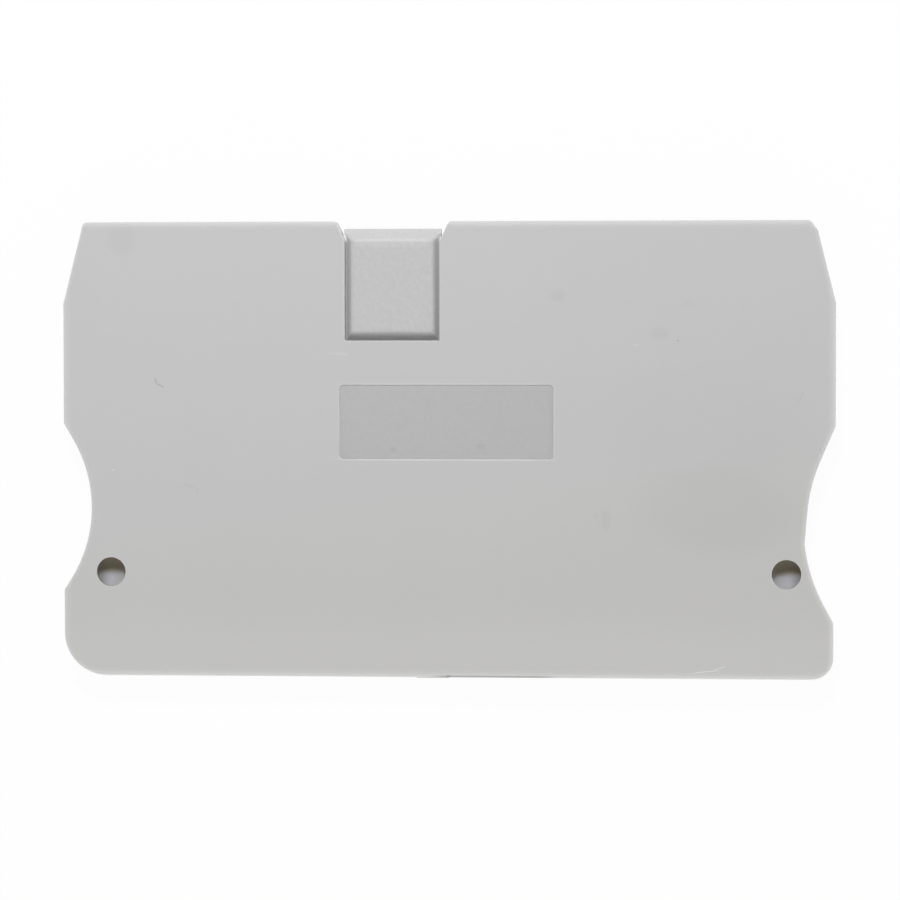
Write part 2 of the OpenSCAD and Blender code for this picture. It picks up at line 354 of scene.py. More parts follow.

# Scratches and pale lines on the outer face, among them painted highlights along the tab's crest and the
# marking field's edges: x, y, half length and half width in millimetres, angle in degrees, bow and tone
SCRATCHES = (
    (-27.02, 6.37, 0.30, 0.08, -74, 0.3, -0.3),
    (-26.60, 5.95, 0.42, 0.08, -26, 0.2, -0.3),
    (-10.03, 8.90, 1.15, 0.17, -3, 0.2, 0.07),
    # Painted highlights along the crest of the tab and just below it
    (-5.00, 19.37, 4.30, 0.22, 0, 0.0, 0.12),
    (-5.00, 18.95, 4.20, 0.40, 0, 0.0, 0.05),
    # Painted highlights along the marking field's upper and lower edges, and painted light where its lower
    # wall shades the floor
    (0.00, 6.08, 11.50, 0.09, 0, 0.0, 0.11),
    (0.00, -0.93, 11.50, 0.08, 0, 0.0, 0.2),
    (0.00, -0.70, 11.50, 0.30, 0, 0.0, 0.05),
    # Painted highlights along the marking field's sides
    (-9.98, 2.55, 4.00, 0.08, 90, 0.0, 0.06),
    (9.96, 2.55, 4.00, 0.08, 90, 0.0, 0.1),
    (17.51, 9.67, 0.30, 0.06, 0, 0.0, 0.2),
    (24.00, -20.36, 1.40, 0.06, 6, 1.0, 0.3),
    (25.20, -20.05, 0.65, 0.05, 17, 0.3, 0.3),
    (-24.00, -3.33, 0.65, 0.20, -12, 0.4, -0.05),
    (-23.20, -3.88, 0.28, 0.14, 90, 0.0, -0.06),
    (32.50, 4.72, 0.95, 0.16, 68, 0.3, -0.04),
)

# Sink marks, specks and smudges, and two broad darker patches on the right: x, y, half length and half width
# in millimetres, and tone
BLOTCHES = (
    (-30.20, 19.80, 1.60, 2.40, -0.035),
    (10.34, 14.18, 0.90, 0.88, -0.045),
    (19.70, 10.68, 1.00, 0.78, -0.04),
    (22.30, 13.50, 0.60, 0.45, -0.02),
    (14.70, -6.45, 0.72, 1.40, -0.035),
    (13.85, -6.08, 0.38, 0.38, -0.03),
    # A broad darker patch on the right of the face
    (24.00, 2.00, 12.00, 7.00, -0.02),
    (21.32, 10.08, 0.14, 0.10, -0.25),
    (-31.08, -1.95, 0.11, 0.10, 0.25),
    # A broad darker patch on the lower right of the face
    (25.00, -5.60, 9.50, 5.00, -0.038),
    (-4.96, 0.00, 0.45, 0.35, -0.05),
    (3.20, 0.30, 0.60, 0.40, -0.05),
    (0.20, -20.95, 0.30, 0.14, -0.25),
)

# Dull cut beside the gate, and painted light on the bevels at the mouth of the notch where they lie in shade,
# in the same terms as a scratch
EDGE_MARKS = (
    (4.40, -21.00, 6.60, 0.16, 0, 0.0, -0.5),
    (-9.73, 20.24, 1.30, 0.15, -64.7, 0.0, 0.6),
    (-0.23, 20.23, 1.30, 0.15, 64.7, 0.0, 0.4),
)


def rounded(corners):
    """Points of a polygon with rounded corners, the corner of each and its share of the way round it.

    corners is an array of x, y and radius, counter-clockwise. With d the direction of the side before a
    corner, n its left normal and t the turn, the arc starts r tan(|t|/2) before the corner, and its point at
    share u is that start plus r (sin(u|t|) d + sign(t) (1 - cos(u|t|)) n). Radius zero gives one point.
    """
    place, radius = corners[:, :2], corners[:, 2]
    side = np.roll(place, -1, axis=0) - place
    reach = np.linalg.norm(side, axis=1)
    after = side / reach[:, None]
    before = np.roll(after, 1, axis=0)
    left = before[:, ::-1] * (-1, 1)
    turn = np.arctan2((left * after).sum(1), (before * after).sum(1))
    half = np.tan(np.abs(turn) / 2)
    room = CORNER_REACH * np.minimum(reach, np.roll(reach, 1))
    radius = np.minimum(radius, room / np.maximum(half, LEAST_TANGENT))
    step = 2 * np.arccos(1 - FACET_ERROR / np.maximum(radius, FACET_ERROR))
    facets = np.where(radius > 0, np.maximum(np.ceil(np.abs(turn) / step), FEWEST_FACETS), 0).astype(int)
    count = facets + 1
    which = np.repeat(np.arange(len(corners)), count)
    share = (np.arange(len(which)) - (np.cumsum(count) - count)[which]) / np.maximum(facets, 1)[which]
    angle = (np.abs(turn)[which] * share)[:, None]
    start = place - (radius * half)[:, None] * before
    bend = np.sin(angle) * before[which] + np.sign(turn)[which, None] * (1 - np.cos(angle)) * left[which]
    return start[which] + radius[which, None] * bend, which, share


def inwards(loop):
    """Step of each point of a closed counter-clockwise loop for a unit inset.

    The step is the sum of the inward normals of the two sides that meet there, over one plus their product.
    """
    side = np.roll(loop, -1, axis=0) - loop
    normal = side[:, ::-1] * (-1, 1) / np.linalg.norm(side, axis=1)[:, None]
    other = np.roll(normal, 1, axis=0)
    return (normal + other) / (1 + (normal * other).sum(1))[:, None]


def carried(loop, profile):
    """A profile carried along a loop, as a grid of rows by points by x, y and z.

    profile is an array of rows by inset and height, or of rows by points by inset and height. Each row of the
    grid is the loop moved inwards by the inset, at that height.
    """
    profile = np.broadcast_to(profile.reshape(len(profile), -1, 2), (len(profile), len(loop), 2))
    flat = loop + profile[..., :1] * inwards(loop)
    return np.concatenate([flat, profile[..., 1:]], axis=2)


def turned(place, profile):
    """A profile of radius and height turned about the upright axis through place.

    It is a grid of rows by angles by x, y and z. At the angle a, x and y are place + r (cos a, sin a).
    """
    angle = np.linspace(0, 2 * math.pi, ROUND_FACETS, endpoint=False)
    ring = np.stack([np.cos(angle), np.sin(angle)], axis=1)
    flat = np.asarray(place) + profile[:, None, :1] * ring
    height = np.broadcast_to(profile[:, None, 1:], (*flat.shape[:2], 1))
    return np.concatenate([flat, height], axis=2)


def quarter(radius, facets):
    """A quarter circle from the wall to the face, as rows by radii by inset and drop.

    At the angle a the inset is r (1 - cos a) and the drop is r (1 - sin a).
    """
    angle = np.linspace(0, math.pi / 2, facets + 1)[:, None]
    radius = np.asarray(radius, float).reshape(1, -1)
    return np.stack([radius * (1 - np.cos(angle)), radius * (1 - np.sin(angle))], axis=-1)


class Shell:
    """Points and faces of one closed mesh."""

    def __init__(self):
        self.points = []
        self.faces = []
        self.smooth = []
        self.count = 0

    def add(self, grid):
        """Adds a grid of points and returns their numbers, in the same rows."""
        numbers = np.arange(self.count, self.count + grid[..., 0].size).reshape(grid.shape[:-1])
        self.points.append(grid.reshape(-1, 3))
        self.count += numbers.size
        return numbers

    def take(self, faces, smooth):
        """Adds rows of point numbers as faces."""
        self.faces.extend(faces)
        self.smooth.extend([smooth] * len(faces))

    def bridge(self, numbers):
        """Quads between the closed rows of a grid of point numbers."""
        nearby = np.roll(numbers, -1, axis=1)
        quads = np.stack([numbers[:-1], nearby[:-1], nearby[1:], numbers[1:]], axis=-1)
        self.take(quads.reshape(-1, 4).tolist(), True)

    def fill(self, outer, *holes):
        """Triangles of a level face between an outer loop and its holes, all counter-clockwise from above."""
        numbers = np.concatenate([outer, *holes])
        flat = np.concatenate(self.points)[numbers, :2] / MM
        ends = np.cumsum([len(outer), *map(len, holes)])
        loops = [list(range(end - len(loop), end)) for loop, end in zip((outer, *holes), ends)]
        _, _, triangles, own, _, inside = delaunay_2d_cdt(list(map(Vector, flat)), [], loops, 1, FILL_MERGE)
        between = [triangle for triangle, found in zip(triangles, inside) if found == [0]]
        origin = np.array([point[0] for point in own])
        self.take(numbers[origin[np.array(between)]].tolist(), False)

    def cap(self, loop):
        """One flat face on a convex loop."""
        self.take([loop.tolist()], False)

    def mesh(self, name):
        """The finished mesh, with its faces turned outwards and its sharp edges marked."""
        made = bpy.data.meshes.new(name)
        made.from_pydata(np.concatenate(self.points), [], self.faces)
        work = bmesh.new()
        work.from_mesh(made)
        bmesh.ops.recalc_face_normals(work, faces=work.faces)
        open_edges = sum(not edge.is_manifold for edge in work.edges)
        if open_edges or work.calc_volume(signed=True) <= 0:
            raise RuntimeError(f"{name} isn't closed: {open_edges} open edges")
        work.to_mesh(made)
        work.free()
        made.set_sharp_from_angle(angle=SHARP_ANGLE)
        made.polygons.foreach_set("use_smooth", self.smooth)
        return made


class TabForm:
    """Limits of the tab on the left, below, on the right and above, with the slopes and fillets there."""

    def __init__(self, settings):
        tab, top = settings.tab, settings.plate.cover_height / 2
        left, right = -tab.notch_offset - tab.notch_w / 2, -tab.notch_offset + tab.notch_w / 2
        self.limits = np.array([left, top - tab.notch_depth, right, top - tab.drop])
        self.ends = np.array([left - tab.reach - tab.offset, right + tab.reach - tab.offset])
        self.full = settings.plate.plate_t
        self.rise = np.array([tab.groove_depth] * 3 + [self.full - tab.lip_t])
        self.run = np.array([tab.slope] * 3 + [tab.top_slope])
        self.lean = np.arctan2(self.run, self.rise)
        self.crest = np.array([tab.crest, tab.foot_crest, tab.crest, tab.crest])

    def height(self, place):
        """Height of the slopes above the inner face.

        It is the least of low + (distance from the limit) rise / run.
        """
        inside = np.concatenate([place - self.limits[:2], self.limits[2:] - place], axis=-1)
        return (self.full - self.rise + inside * self.rise / self.run).min(axis=-1)

    def distance(self, height):
        """Distance of the surface from each limit at a height z.

        It is (z - low) run / rise on a slope, and c - sqrt(R^2 - (z - full + R)^2) on the fillet of radius R
        and centre c between the slope and the face.
        """
        centre = self.run + self.crest * np.tan((math.pi / 2 - self.lean) / 2)
        on_crest = centre - np.sqrt(np.maximum(self.crest**2 - (height - self.full + self.crest) ** 2, 0))
        on_slope = (height - self.full + self.rise) * self.run / self.rise
        return np.where(height <= self.full - self.crest * (1 - np.sin(self.lean)), on_slope, on_crest)

    def levels(self, first):
        """Heights from first up to the face, with the ends of each fillet among them."""
        angle = np.linspace(self.lean.min(), math.pi / 2, EDGE_FACETS + 1)
        around = self.crest.max() * (1 - np.sin(angle))
        below = np.union1d(self.crest * (1 - np.sin(self.lean)), around)
        return np.concatenate([[first], self.full - below[::-1]])

    def rim(self):
        """Points of the upper edge from right to left, between those where it meets the side slopes."""
        top = self.limits[3]
        side = self.height(np.column_stack([self.ends, np.full(2, self.limits[1] + self.run[1])]))
        meet = top - (side - self.full + self.rise[3]) * self.run[3] / self.rise[3]
        low = self.full - self.rise[3]
        left, right = self.ends
        return np.array(
            [[right, meet[1], side[1]], [right, top, low], [left, top, low], [left, meet[0], side[0]]]
        )


def outline(settings):
    """Corners of the plate with its notch, counter-clockwise from the left shoulder.

    Each has a name, x, y, the corner's radius, and the rounding of the edge in section before and after it.
    """
    plate, hollow, tab = settings.plate, settings.hollows, settings.tab
    half_l, half_h = plate.cover_length / 2, plate.cover_height / 2
    edge, fine, tight = plate.edge_round, tab.notch_edge, plate.tight_r
    left_top = half_h - hollow.left_top
    left_span = plate.cover_height - hollow.left_top - hollow.left_foot
    right_top = half_h - hollow.right_top
    right_span = plate.cover_height - hollow.right_top - hollow.right_foot
    foot = half_l - hollow.foot_inset
    bevel = half_l - plate.shoulder_run * (1 - plate.bevel_drop / plate.shoulder_drop)
    gate = (-plate.gate_offset - plate.gate_w / 2, -plate.gate_offset + plate.gate_w / 2)
    mouth = half_h - tab.mouth_drop
    floor = half_h - tab.notch_depth
    form = TabForm(settings)
    notch, ends = form.limits[[0, 2]], form.ends
    ends_y = mouth + tab.mouth_drop * np.abs(ends - notch) / tab.mouth_run

    def right_at(share):
        """Place along the right hollow."""
        return right_top - share * right_span

    around = [
        ("left shoulder", plate.shoulder_run - half_l, half_h, tight),
        ("left side", -half_l, half_h - plate.shoulder_drop, tight),
        ("left hollow top", -half_l, left_top, tight),
        ("left hollow", hollow.left_depth - half_l, left_top - hollow.left_share * left_span, hollow.left_r),
        ("left hollow foot", -half_l, hollow.left_foot - half_h, tight),
        ("left corner", -half_l, -half_h, plate.left_corner_r),
        ("before gate", gate[0] - GATE_LIP, -half_h, 0),
        ("gate", gate[0], -half_h, 0),
        ("gate", gate[1], -half_h, 0),
        ("after gate", gate[1] + GATE_LIP, -half_h, 0),
        ("right corner", foot, -half_h, plate.right_corner_r),
        ("right foot", foot, hollow.right_foot - half_h, tight),
        ("lower arc", half_l - hollow.lower_depth, right_at(hollow.lower_share), hollow.lower_r),
        ("throat", half_l - hollow.throat_depth, right_at(hollow.throat_share), tight),
        ("upper arc", half_l - hollow.upper_depth, right_at(hollow.upper_share), hollow.upper_r),
        ("right hollow top", half_l, right_at(0), tight),
        ("right side", half_l, half_h - plate.shoulder_drop, tight),
        ("right bevel", bevel, half_h - plate.bevel_drop, tight),
        ("right shoulder", bevel - plate.bevel_run, half_h, tight),
    ]
    in_notch = [
        ("right mouth", notch[1] + tab.mouth_run, half_h, tab.mouth_round, edge, fine),
        ("tab right", ends[1], ends_y[1], 0, fine, fine),
        ("notch right", notch[1], mouth, 0, fine, fine),
        ("notch floor", notch[1], floor, tab.notch_corner_r, fine, fine),
        ("notch floor", notch[0], floor, tab.notch_corner_r, fine, fine),
        ("notch left", notch[0], mouth, 0, fine, fine),
        ("tab left", ends[0], ends_y[0], 0, fine, fine),
        ("left mouth", notch[0] - tab.mouth_run, half_h, tab.mouth_round, fine, edge),
    ]
    return [(*corner, edge, edge) for corner in around] + in_notch


def tab_grid(form, first, counts, corner_r):
    """The tab from the height first upwards, as a grid of heights by points around it.

    Each level is a rectangle at the distances of the form, with rounded corners of counts points.
    """
    height = form.levels(first)[:, None]
    limits = form.limits + form.distance(height) * (1, 1, -1, -1)
    which = np.repeat(np.arange(4), counts)
    outwards = np.roll(SQUARE, 2, axis=0)[which]
    turn = np.concatenate([np.linspace(corner, corner + 1, count) for corner, count in enumerate(counts)])
    ring = np.stack([np.cos(turn * math.pi / 2), np.sin(turn * math.pi / 2)], axis=1)
    flat = limits[:, np.where(outwards > 0, (2, 3), (0, 1))] + corner_r * (ring - outwards)
    return np.concatenate([flat, np.broadcast_to(height[:, None], (*flat.shape[:2], 1))], axis=2)


def add_plate(shell, settings):
    """Adds the plate's edge and the tab in its notch, and returns the rows that bound the two faces.

    The edge's section is carried along the outline, down to the tab's slopes inside the notch. The tab's rim
    takes the place of the notch in the inner face.
    """
    plate, tab, back = settings.plate, settings.tab, settings.details.peg_length
    face = back + plate.plate_t
    form = TabForm(settings)
    corners = outline(settings)
    names = np.array([corner[0] for corner in corners])
    values = np.array([corner[1:] for corner in corners])
    loop, which, share = rounded(values[:, :3])
    edge = values[which, 3] + share * (values[which, 4] - values[which, 3])
    on_gate = names[which] == "gate"
    first, last = (int(np.argmax(names[which] == name)) for name in ("tab right", "tab left"))
    inside = np.arange(first, last + 1)
    outside = np.arange(last, first + len(loop) + 1) % len(loop)

    low = np.repeat(back + tab.lip_t, len(loop))
    low[inside] = back + form.height(loop[inside])
    # The groove has its floor at the sides of the tab, and none below it
    beside = np.isin(names[which], ("notch right", "notch left")).astype(float)
    turn_right, turn_left = np.flatnonzero(names == "notch floor")
    beside = np.where(which == turn_right, 1 - share, np.where(which == turn_left, share, beside))
    low += beside * tab.groove_floor * tab.groove_depth / tab.slope
    high = face - edge - SUPPORT
    level = low + np.linspace(0, 1, WALL_ROWS)[:, None] * (high - low)
    # Two rows mark the top of the gate, and the rows up to it stand proud there
    level[1:3, outside] = back + plate.gate_t + np.array([[0], [GATE_LIP]])
    wall = np.stack(np.broadcast_arrays(0.0, level), axis=-1)
    section = np.concatenate([wall, quarter(edge, EDGE_FACETS) * (1, -1) + (0, face)])
    grid = carried(loop, section)
    grid[:2, on_gate, 1] -= plate.gate_proud
    wall_rows = shell.add(grid)
    shell.bridge(wall_rows)

    rim = form.rim()
    rim_row = shell.add(rim + (0, 0, back))
    back_loop = np.concatenate([loop[outside], rim[:, :2]])
    back_loop[: len(outside)][on_gate[outside], 1] -= plate.gate_proud
    back_section = (quarter(plate.back_round, FINE_FACETS) + (0, back))[::-1]
    back_rows = shell.add(carried(back_loop, back_section))
    shell.bridge(np.vstack([back_rows, np.concatenate([wall_rows[0][outside], rim_row])]))

    around = np.concatenate([wall_rows[0][inside[1::-1]], rim_row, wall_rows[0][inside[:1:-1]]])
    counts = [TAB_CORNER_POINTS] * 2 + list(np.bincount(which)[names == "notch floor"][::-1])
    tab_top = tab_grid(form, low[inside].max() - back + TAB_RISE, counts, tab.corner_r)
    tab_rows = shell.add(tab_top + (0, 0, back))
    shell.bridge(np.vstack([around, tab_rows]))
    shell.cap(tab_rows[-1])
    return wall_rows[-1], back_rows[0]


def add_field(shell, settings):
    """Adds the sunk marking field, and returns the row that bounds it in the outer face.

    The section of its edge, two quarter circles, is carried along a rectangle with rounded corners.
    """
    plate, detail = settings.plate, settings.details
    face = detail.peg_length + plate.plate_t
    half = np.array([detail.field_w, detail.field_h]) / 2
    corners = SQUARE * half + (0, plate.cover_height / 2 - detail.field_drop)
    loop = rounded(np.column_stack([corners, np.full(4, detail.field_corner_r)]))[0]
    round_off = quarter(detail.field_edge, FINE_FACETS)[:, 0]
    upper, lower = -round_off[::-1] + (0, face), round_off + (0, face - detail.field_depth)
    rows = shell.add(carried(loop, np.concatenate([upper, lower])))
    shell.bridge(rows)
    shell.cap(rows[-1])
    return rows[0]


def add_rounds(shell, settings):
    """Adds the sockets, the pegs and the ejector marks, and returns the rows that bound them in each face.

    The floor of a socket rises by the dish times the square of the share of its bore.
    """
    plate, detail, back = settings.plate, settings.details, settings.details.peg_length
    half_l, half_h = plate.cover_length / 2, plate.cover_height / 2
    face = back + plate.plate_t

    def fillet(size, radius, height):
        """The rounding from a face at that height to a wall of that radius."""
        return (quarter(size, FINE_FACETS)[:, 0] * (1, -1))[::-1] + (radius, height)

    bore = detail.socket_d / 2
    part = np.linspace(1, 0, DISH_ROWS, endpoint=False)
    dish = np.column_stack([bore * part, face - detail.socket_depth + detail.socket_dish * part**2])
    socket = np.vstack([fillet(detail.socket_lead, bore, face), dish])
    socket_x, socket_y = half_l - detail.socket_inset, detail.socket_rise - half_h
    sockets = [(-socket_x, socket_y), (socket_x, socket_y)]
    peg_r = bore - detail.peg_play / 2
    tip = [(peg_r, detail.peg_tip), (peg_r - detail.peg_tip, 0)]
    peg = np.vstack([fillet(detail.peg_root, peg_r, back), tip])
    pegs = [*sockets, (detail.top_peg_x, half_h - detail.top_peg_drop)]
    mark_r, depth = detail.ejector_d / 2, detail.ejector_depth
    mark = np.array([(mark_r, back), (mark_r - depth / 2, back + depth)])
    marks = [(x * plate.cover_length, y * plate.cover_height) for x, y in EJECTOR_SHARES]
    outer, inner = [], []
    for bounds, profile, places in ((outer, socket, sockets), (inner, peg, pegs), (inner, mark, marks)):
        for place in places:
            rows = shell.add(turned(place, profile))
            shell.bridge(rows)
            shell.cap(rows[-1])
            bounds.append(rows[0])
    return outer, inner


def cover_mesh(settings):
    """The cover as one closed surface."""
    shell = Shell()
    outer, inner = add_plate(shell, settings)
    field = add_field(shell, settings)
    outer_rounds, inner_rounds = add_rounds(shell, settings)
    shell.fill(outer, field, *outer_rounds)
    shell.fill(inner, *inner_rounds)
    return shell.mesh(NODE + "_shell")


class Nodes:
    """Short calls that add nodes to a material or world and link them."""

    def __init__(self, owner):
        owner.use_nodes = True
        self.tree = owner.node_tree
        self.tree.nodes.clear()

    def add(self, kind, inputs=None, **values):
        """A node of that kind, with its values set and its inputs set or linked."""
        node = self.tree.nodes.new(kind)
        for name, value in values.items():
            setattr(node, name, value)
        for name, value in (inputs or {}).items():
            if isinstance(value, bpy.types.NodeSocket):
                self.tree.links.new(value, node.inputs[name])
            else:
                node.inputs[name].default_value = value
        return node

    def math(self, operation, *values):
        """The result of a Math node."""
        return self.add("ShaderNodeMath", dict(enumerate(values)), operation=operation).outputs[0]

    def between(self, value, low, high, to_low=0.0, to_high=1.0):
        """A smooth step from to_low at low to to_high at high."""
        ends = {"Value": value, "From Min": low, "From Max": high, "To Min": to_low, "To Max": to_high}
        return self.add("ShaderNodeMapRange", ends, interpolation_type="SMOOTHSTEP").outputs["Result"]

    def times(self, first, *others):
        """The product of values."""
        for value in others:
            first = self.math("MULTIPLY", first, value)
        return first

    def total(self, *terms):
        """The sum of values, each times its weight."""
        result = 0.0
        for value, weight in terms:
            result = self.math("MULTIPLY_ADD", value, weight, result)
        return result

    def split(self, vector):
        """The three parts of a vector."""
        return self.add("ShaderNodeSeparateXYZ", {0: vector}).outputs

    def scaled(self, vector, scale):
        """A vector or colour times a value."""
        return self.add("ShaderNodeVectorMath", {0: vector, "Scale": scale}, operation="SCALE").outputs[0]

    def blend(self, share, *colours):
        """A colour between two others."""
        inputs = {0: share}
        for end, value in zip(MIX_COLOURS, colours):
            inputs[end] = value if isinstance(value, bpy.types.NodeSocket) else (*value, 1.0)
        return self.add("ShaderNodeMix", inputs, data_type="RGBA").outputs[MIX_RESULT]

    def noise(self, place, scale, detail, roughness):
        """Noise about zero, from -1 to 1."""
        values = {"Vector": place, "Scale": scale, "Detail": detail, "Roughness": roughness}
        value = self.add("ShaderNodeTexNoise", values).outputs["Fac"]
        return self.math("MULTIPLY_ADD", value, 2.0, -1.0)

    def local(self, place, x, y, half_length, half_width, angle=0.0):
        """Coordinates about a place on the face, turned, and 1 at the ends of its half length and width."""
        values = {
            "Vector": place,
            "Location": (x, y, 0.0),
            "Rotation": (0.0, 0.0, math.radians(angle)),
            "Scale": (half_length, half_width, 1.0),
        }
        moved = self.add("ShaderNodeMapping", values, vector_type="TEXTURE").outputs[0]
        return self.split(moved)

    def scratch(self, place, x, y, half_length, half_width, angle, bow):
        """A mask of a thin stroke, which bends by bow half widths between its middle and its ends."""
        along, aside, _ = self.local(place, x, y, half_length, half_width, angle)
        across = self.math("MULTIPLY_ADD", self.times(along, along), bow, aside)
        ends = self.between(self.math("ABSOLUTE", along), *SCRATCH_ENDS)
        return self.times(ends, self.between(self.math("ABSOLUTE", across), *SCRATCH_SIDES))

    def blotch(self, place, *sizes):
        """A mask of a soft oval patch."""
        along, across, _ = self.local(place, *sizes)
        return self.between(self.total((along, along), (across, across)), *BLOTCH_FADE)

    def block(self, place, x, y, half_length, half_width, soft):
        """A mask of a rectangle on the face, with edges that fade over soft."""
        along, across, _ = self.local(place, x, y, 1.0, 1.0)
        ends = self.between(self.math("ABSOLUTE", along), half_length, half_length - soft)
        return self.times(ends, self.between(self.math("ABSOLUTE", across), half_width, half_width - soft))


def socket_colour(nodes, x, y, settings):
    """A mask of the two sockets, and their colour.

    Painted shade darkens the upper half, where the rim hides the lamp, and the sides, and the wall away from
    the middle of the cover; the lower half has a painted lit colour. Distances from a socket's axis are
    shares of its bore's radius.
    """
    plate, detail, finish = settings.plate, settings.details, settings.finish
    bore = detail.socket_d / 2 / MM
    socket_x = (plate.cover_length / 2 - detail.socket_inset) / MM
    socket_y = (detail.socket_rise - plate.cover_height / 2) / MM
    across = nodes.math("MULTIPLY_ADD", nodes.math("ABSOLUTE", x), 1 / bore, -socket_x / bore)
    along = nodes.math("MULTIPLY_ADD", y, 1 / bore, -socket_y / bore)
    inside = nodes.between(nodes.total((along, along), (across, across)), *SOCKET_RIM)
    sides = nodes.between(nodes.math("ABSOLUTE", across), *SOCKET_SIDES)
    lit_share = nodes.times(nodes.between(along, *SOCKET_HALVES), sides)
    socket_shading = nodes.blend(lit_share, finish.socket_shade, finish.socket_lit)
    return inside, nodes.scaled(socket_shading, nodes.between(across, *SOCKET_OUTWARDS))


def plastic_material(settings):
    """Matt grey moulded plastic with a fine eroded grain, a coarser one on the tab, and the marks of use.

    The plastic's colour is scaled by one plus the sum of the tones, each times its mask; some tones are
    painted light and shade. With u the upward part of the normal, edges carry a painted highlight of sqrt(1 -
    u). Coordinates are millimetres.
    """
    plate, tab, detail, finish = settings.plate, settings.tab, settings.details, settings.finish
    half_l, half_h = plate.cover_length / 2 / MM, plate.cover_height / 2 / MM
    back = detail.peg_length / MM
    material = bpy.data.materials.new("grey_moulded_plastic")
    nodes = Nodes(material)
    place = nodes.scaled(nodes.add("ShaderNodeTexCoord").outputs["Object"], 1 / MM)
    x, y, z = nodes.split(place)
    _, towards_top, up = nodes.split(nodes.add("ShaderNodeNewGeometry").outputs["Normal"])

    depth = nodes.math("SUBTRACT", back + plate.plate_t / MM, z)
    front = nodes.between(z, *(back + height for height in FRONT_HEIGHT))
    outer = nodes.between(depth, *OUTER_DEPTH)
    tab_half = (tab.notch_w / 2 / MM, (tab.notch_depth - tab.drop) / 2 / MM)
    tab_y = half_h - tab.drop / MM - tab_half[1]
    on_tab = nodes.times(nodes.block(place, -tab.notch_offset / MM, tab_y, *tab_half, TAB_FADE), front)
    field_half = [size / 2 / MM + FIELD_MARGIN for size in (detail.field_w, detail.field_h)]
    field_y = half_h - detail.field_drop / MM
    field = nodes.times(nodes.block(place, 0.0, field_y, *field_half, FIELD_FADE), front)
    in_field = nodes.times(field, nodes.between(depth, FIELD_STEP, detail.field_depth / MM - FIELD_STEP))

    facing_top = nodes.between(towards_top, *TOP_FACING)
    on_top = nodes.times(on_tab, facing_top)
    below_top = nodes.math("SUBTRACT", on_tab, on_top)
    on_slope = nodes.times(below_top, nodes.between(depth, *SLOPE_DEPTH))
    on_foot = nodes.times(on_tab, *(nodes.between(towards_top, *ends) for ends in FOOT_FACING))
    right_side = nodes.times(nodes.between(x, *SIDE_X), nodes.between(y, *SIDE_Y))
    from_sides = nodes.math("SUBTRACT", half_l, nodes.math("ABSOLUTE", x))
    from_ends = nodes.math("SUBTRACT", half_h, nodes.math("ABSOLUTE", y))
    at_rim = nodes.between(nodes.math("MINIMUM", from_sides, from_ends), *RIM_INSET)
    # Share of the painted edge highlight: none on slopes in shade, less on the tab's upper slope
    steep = nodes.math("SQRT", nodes.math("SUBTRACT", 1.0, up))
    shaded = nodes.times(nodes.math("MAXIMUM", on_tab, field), nodes.math("SUBTRACT", 1.0, facing_top))
    pale = nodes.math("SUBTRACT", nodes.math("MULTIPLY_ADD", on_top, TOP_EDGE, 1.0), shaded)

    grain = nodes.noise(place, *GRAIN_NOISE)
    uneven = nodes.noise(place, *COARSE_NOISE)
    coarse = nodes.times(uneven, on_tab)
    scratches = [(nodes.scratch(place, *shape), strength) for *shape, strength in SCRATCHES]
    blotches = [(nodes.blotch(place, *shape), strength) for *shape, strength in BLOTCHES]
    edge_marks = [(nodes.scratch(place, *shape), strength) for *shape, strength in EDGE_MARKS]
    tone = nodes.total(
        (nodes.noise(place, *CLOUD_NOISE), CLOUD_TONE),
        (nodes.noise(place, *MOTTLE_NOISE), MOTTLE_TONE),
        (grain, GRAIN_TONE),
        (coarse, TAB_TONE),
        (below_top, FACE_TONE),
        # Painted shade on the tab's slopes down in the groove
        (on_slope, GROOVE_SHADE),
        # Painted shade on the tab's lower slope, which faces away from the lamp
        (on_foot, FOOT_SHADE),
        (in_field, nodes.math("MULTIPLY_ADD", uneven, FIELD_GRAIN, FIELD_TONE)),
        # Painted glare: the face lighter towards the rail-side edge
        (nodes.between(y, *RAIL_Y), RAIL_GLARE),
        # Painted shade: the face darker towards the lower right, where the lamp's light falls off
        (right_side, SIDE_SHADE),
        # Painted glare: the face lighter within a millimetre of the rim
        (nodes.times(at_rim, outer), RIM_GLARE),
        # Painted highlight on the edges and walls
        (nodes.times(steep, nodes.between(up, *EDGE_UP), pale), EDGE_HIGHLIGHT),
        # Scratches and blotches, with painted highlights along the tab's crest and the marking field's edges
        (nodes.total(*scratches, *blotches), outer),
        # The dull gate cut, and painted light on the bevels at the mouth of the notch
        (nodes.total(*edge_marks), front),
    )

    # Painted warm light towards the rail side and the lower left
    warmth = nodes.between(nodes.math("MULTIPLY_ADD", x, WARM_TURN, y), *WARM_Y)
    tint = nodes.blend(warmth, finish.plastic, finish.warm_plastic)
    plain = nodes.scaled(tint, nodes.math("ADD", tone, 1.0))
